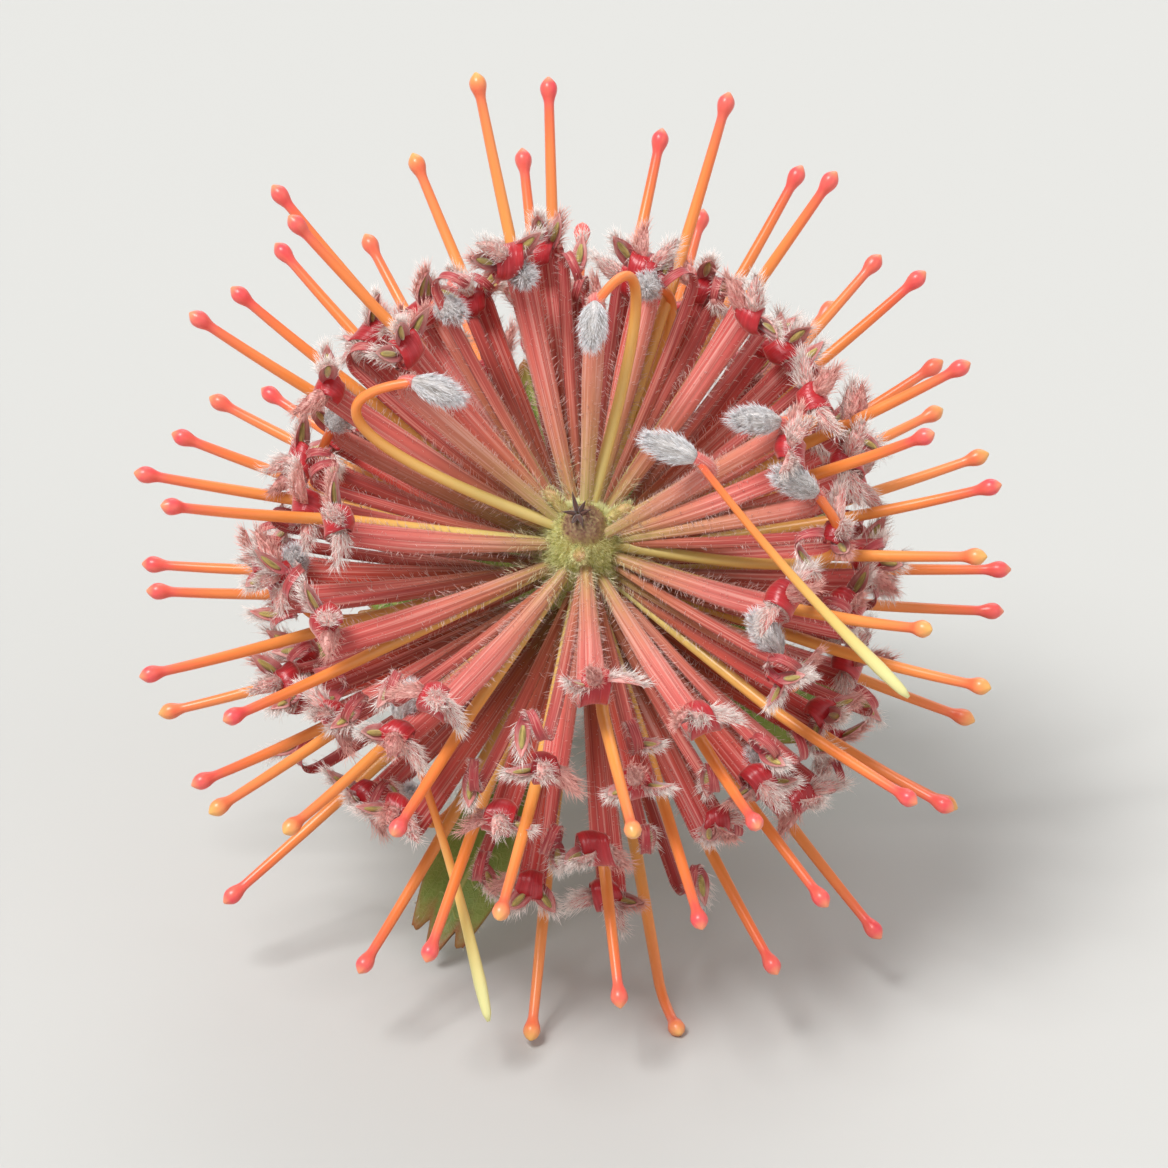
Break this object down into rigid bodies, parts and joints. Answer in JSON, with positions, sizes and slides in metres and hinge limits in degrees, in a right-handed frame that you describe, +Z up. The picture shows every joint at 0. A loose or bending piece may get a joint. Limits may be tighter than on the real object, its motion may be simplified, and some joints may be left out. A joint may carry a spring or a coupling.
{
  "type": "pincushion protea flower",
  "caption": "Cut pincushion protea: a domed head of rolled-back pink florets and long orange styles on a short leafy stem, lying on a flat surface.",
  "frame": {"origin": "on the surface the flower lies on, under the middle of its bounding box", "axes": "+Z up, -Y the way the head looks, +Y back along the stem to its cut end, +X to the head's right as seen from the front"},
  "size_m": [0.123, 0.227, 0.1192],
  "materials": {
    "florets": "soft sheen with fine hairs",
    "bracts": "matt with fine hairs",
    "stem": "matt with fine hairs",
    "leaf": "leathery satin"
  },
  "bodies": {
    "root": {"flower_head": "florets", "involucre": "bracts", "stem": "stem", "leaf_1": "leaf", "leaf_2": "leaf", "leaf_3": "leaf", "leaf_4": "leaf", "leaf_5": "leaf", "leaf_6": "leaf", "leaf_7": "leaf", "leaf_8": "leaf", "leaf_9": "leaf", "leaf_10": "leaf", "leaf_11": "leaf"}
  },
  "joints": []
}
